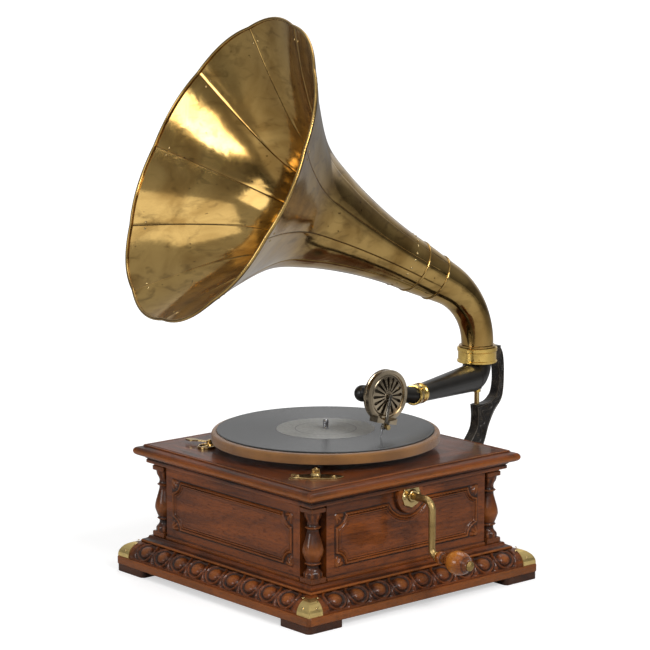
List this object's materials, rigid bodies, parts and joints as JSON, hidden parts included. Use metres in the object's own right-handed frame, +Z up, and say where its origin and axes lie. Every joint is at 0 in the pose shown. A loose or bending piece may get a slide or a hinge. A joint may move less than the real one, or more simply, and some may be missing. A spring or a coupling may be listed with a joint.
{
  "type": "horn gramophone",
  "caption": "Wind-up table gramophone: square carved wooden cabinet, turntable with a record, hand crank, swinging tone arm with a sound box, and a fluted petal horn.",
  "frame": {"origin": "on the floor under the cabinet's centre, on the turntable's axis", "axes": "+Z up, +X towards the crank, -Y towards the front, +Y towards the bracket and horn pivot"},
  "size_m": [0.4989, 0.4659, 0.6402],
  "materials": {
    "mahogany": "polished and carved",
    "dark_wood": "polished",
    "pale_brass": "polished",
    "horn_brass": "aged, polished",
    "motor_brass": "satin",
    "steel": "satin",
    "black_iron": "black satin enamel",
    "bronze": "dark, worn",
    "felt": "woven felt",
    "shellac": "grooved gloss",
    "rubber": "matte",
    "mica": "thin sheet"
  },
  "bodies": {
    "cabinet": {"corner_feet": "dark_wood", "base_slab": "mahogany", "bottom_board": "dark_wood", "base_moulding": "mahogany", "corner_guards": "pale_brass", "ledge_moulding": "mahogany", "front_panel": "mahogany", "back_panel": "mahogany", "left_panel": "mahogany", "right_panel": "mahogany", "corner_posts": "dark_wood", "corner_columns": "mahogany", "frieze_frame": "mahogany", "top_board": "mahogany", "motor_top_plate": "steel", "motor_bottom_plate": "steel", "motor_pillars": "steel", "motor_spacers": "black_iron", "motor_bolts": "steel", "ratchet_click": "steel", "governor_bearings": "motor_brass", "escutcheon": "pale_brass", "wood_screws": "pale_brass", "speed_plate": "pale_brass", "brake_base": "pale_brass", "back_bracket": "black_iron", "pivot_pin": "pale_brass", "horn_collar": "pale_brass"},
    "turntable": {"spindle": "steel", "turntable_platter": "steel", "platter_felt": "felt", "record": "shellac"},
    "barrel": {"spring_barrel": "motor_brass", "mainspring": "steel"},
    "second_gear": {"second_wheel": "motor_brass"},
    "governor": {"governor_shaft": "steel", "governor_weights": "motor_brass", "governor_springs": "steel"},
    "arbor": {"winding_arbor": "steel", "crown_wheel": "motor_brass", "ratchet_wheel": "steel"},
    "crank": {"winding_shaft": "steel", "crank_handle": "pale_brass"},
    "crank_grip": {"crank_knob": "dark_wood"},
    "speed_control": {"speed_knob": "pale_brass"},
    "regulator": {"regulator_arm": "motor_brass"},
    "brake": {"brake_lever": "pale_brass"},
    "arm": {"tonearm": "black_iron", "arm_ferrule": "pale_brass"},
    "neck": {"gooseneck": "black_iron", "soundbox_body": "bronze", "soundbox_gaskets": "rubber", "diaphragm": "mica", "soundbox_grille": "bronze"},
    "stylus": {"stylus_bar": "steel", "needle": "steel"},
    "screw": {"needle_screw": "pale_brass"},
    "horn": {"horn_bell": "horn_brass", "horn_elbow": "horn_brass", "horn_bands": "pale_brass"}
  },
  "joints": [
    {"name": "turntable_spin", "type": "hinge", "parent": "cabinet", "child": "turntable", "pos_m": [0, 0, 0.17], "axis": [0, 0, -1], "continuous": true},
    {"name": "second_wheel_spin", "type": "hinge", "parent": "cabinet", "child": "second_gear", "pos_m": [0.02497, 0.03125, 0.06], "axis": [0, 0, -1], "continuous": true},
    {"name": "barrel_spin", "type": "hinge", "parent": "cabinet", "child": "barrel", "pos_m": [0.064, 0, 0.08], "axis": [0, 0, -1], "continuous": true},
    {"name": "governor_spin", "type": "hinge", "parent": "cabinet", "child": "governor", "pos_m": [0, -0.0258, 0.046], "axis": [1, 0, 0], "continuous": true},
    {"name": "crank_turn", "type": "hinge", "parent": "cabinet", "child": "crank", "pos_m": [0.147, 0, 0.1203], "axis": [1, 0, 0], "continuous": true},
    {"name": "arbor_turn", "type": "hinge", "parent": "cabinet", "child": "arbor", "pos_m": [0.064, 0, 0.1], "axis": [0, 0, -1], "continuous": true},
    {"name": "knob_spin", "type": "hinge", "parent": "crank", "child": "crank_grip", "pos_m": [0.214, 0, 0.059], "axis": [1, 0, 0], "continuous": true},
    {"name": "speed_turn", "type": "hinge", "parent": "cabinet", "child": "speed_control", "pos_m": [0.10324, -0.10324, 0.155], "axis": [0, 0, 1], "range_deg": [-5, 5]},
    {"name": "regulator_turn", "type": "hinge", "parent": "cabinet", "child": "regulator", "pos_m": [0.072, -0.046, 0.046], "axis": [0, 0, 1], "range_deg": [-6, 6]},
    {"name": "brake_turn", "type": "hinge", "parent": "cabinet", "child": "brake", "pos_m": [-0.09475, -0.09475, 0.154], "axis": [0, 0, 1], "range_deg": [0, 12]},
    {"name": "tonearm_swing", "type": "hinge", "parent": "cabinet", "child": "arm", "pos_m": [0, 0.241, 0.2], "axis": [0, 0, 1], "range_deg": [-9, 24]},
    {"name": "gooseneck_turn", "type": "hinge", "parent": "arm", "child": "neck", "pos_m": [0.05715, 0.08815, 0.20962], "axis": [0.3499, -0.9359, 0.0407], "range_deg": [0, 100]},
    {"name": "stylus_rock", "type": "hinge", "parent": "neck", "child": "stylus", "pos_m": [0.0842, 0.0167, 0.19033], "axis": [0, 0.9724, -0.2334], "range_deg": [-0.4, 0.4], "stiffness_Nm_per_rad": 0.05},
    {"name": "needle_screw_turn", "type": "hinge", "parent": "stylus", "child": "screw", "pos_m": [0.083, 0.01562, 0.18586], "axis": [1, 0, 0], "continuous": true},
    {"name": "horn_swivel", "type": "hinge", "parent": "cabinet", "child": "horn", "pos_m": [0, 0.241, 0.235], "axis": [0, 0, 1], "range_deg": [-75, 75]}
  ],
  "couplings": [
    {"joint": "second_wheel_spin", "follows": "turntable_spin", "ratio": -0.17647},
    {"joint": "barrel_spin", "follows": "turntable_spin", "ratio": 0.024064},
    {"joint": "governor_spin", "follows": "turntable_spin", "ratio": 11},
    {"joint": "arbor_turn", "follows": "crank_turn", "ratio": 0.42857},
    {"joint": "regulator_turn", "follows": "speed_turn", "ratio": -1.1}
  ]
}
